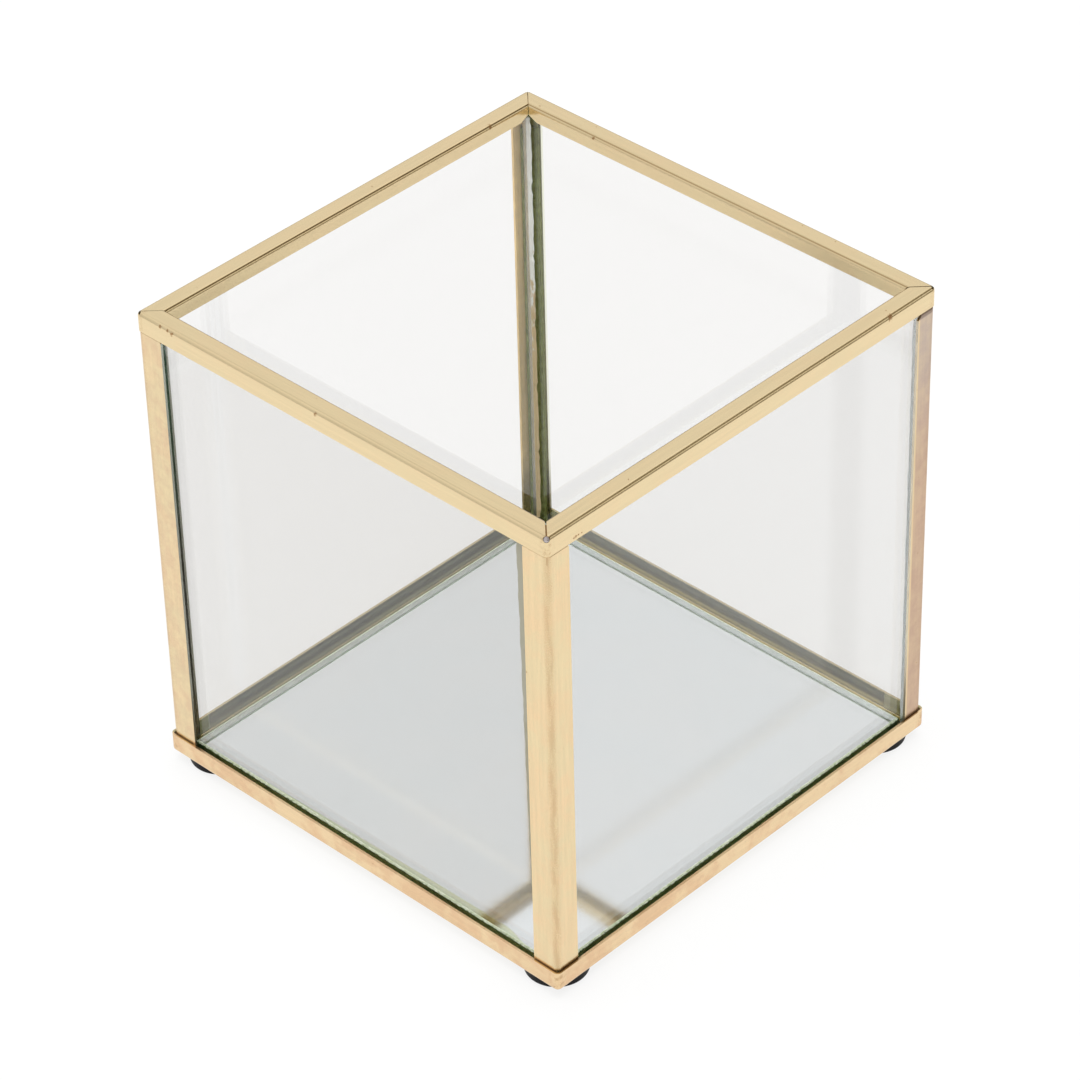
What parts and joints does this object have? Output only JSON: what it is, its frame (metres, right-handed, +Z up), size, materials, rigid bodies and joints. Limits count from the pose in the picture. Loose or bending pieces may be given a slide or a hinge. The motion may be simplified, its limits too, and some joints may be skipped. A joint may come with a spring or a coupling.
{
  "type": "open-topped glass box with mirror base",
  "caption": "Open-topped cube box of clear glass panes in a folded brass strip frame, with a mirror base on round rubber feet.",
  "frame": {"origin": "on the surface that the rubber feet stand on, under the middle of the box", "axes": "+Z up through the open top, +X towards the right pane, -Y towards the front pane"},
  "size_m": [0.1008, 0.1008, 0.102],
  "materials": {
    "brass_plate": "satin pale gold plating with fine speckle",
    "clear_glass": "polished clear float glass with green cut edges",
    "base_glass": "polished clear float glass, slightly green",
    "mirror_silver": "mirror silvering",
    "backing_paint": "flat protective paint",
    "clear_sealant": "clear cured sealant",
    "solder": "dull bright solder",
    "fluxed_solder": "solder stained brown by flux",
    "foot_adhesive": "foam adhesive disc",
    "foot_rubber": "moulded black rubber"
  },
  "bodies": {
    "root": {"top_rim": "brass_plate", "bottom_rim": "brass_plate", "corner_post_front_left": "brass_plate", "corner_post_front_right": "brass_plate", "corner_post_back_left": "brass_plate", "corner_post_back_right": "brass_plate", "glass_pane_front": "clear_glass", "glass_pane_back": "clear_glass", "glass_pane_left": "clear_glass", "glass_pane_right": "clear_glass", "mirror_glass": "base_glass", "mirror_silvering": "mirror_silver", "mirror_backing_paint": "backing_paint", "sealant_front_left": "clear_sealant", "sealant_front_right": "clear_sealant", "sealant_back_left": "clear_sealant", "sealant_back_right": "clear_sealant", "solder_top": "solder", "solder_bottom": "fluxed_solder", "foot_adhesive_front_left": "foot_adhesive", "foot_adhesive_front_right": "foot_adhesive", "foot_adhesive_back_left": "foot_adhesive", "foot_adhesive_back_right": "foot_adhesive", "rubber_foot_front_left": "foot_rubber", "rubber_foot_front_right": "foot_rubber", "rubber_foot_back_left": "foot_rubber", "rubber_foot_back_right": "foot_rubber"}
  },
  "joints": []
}
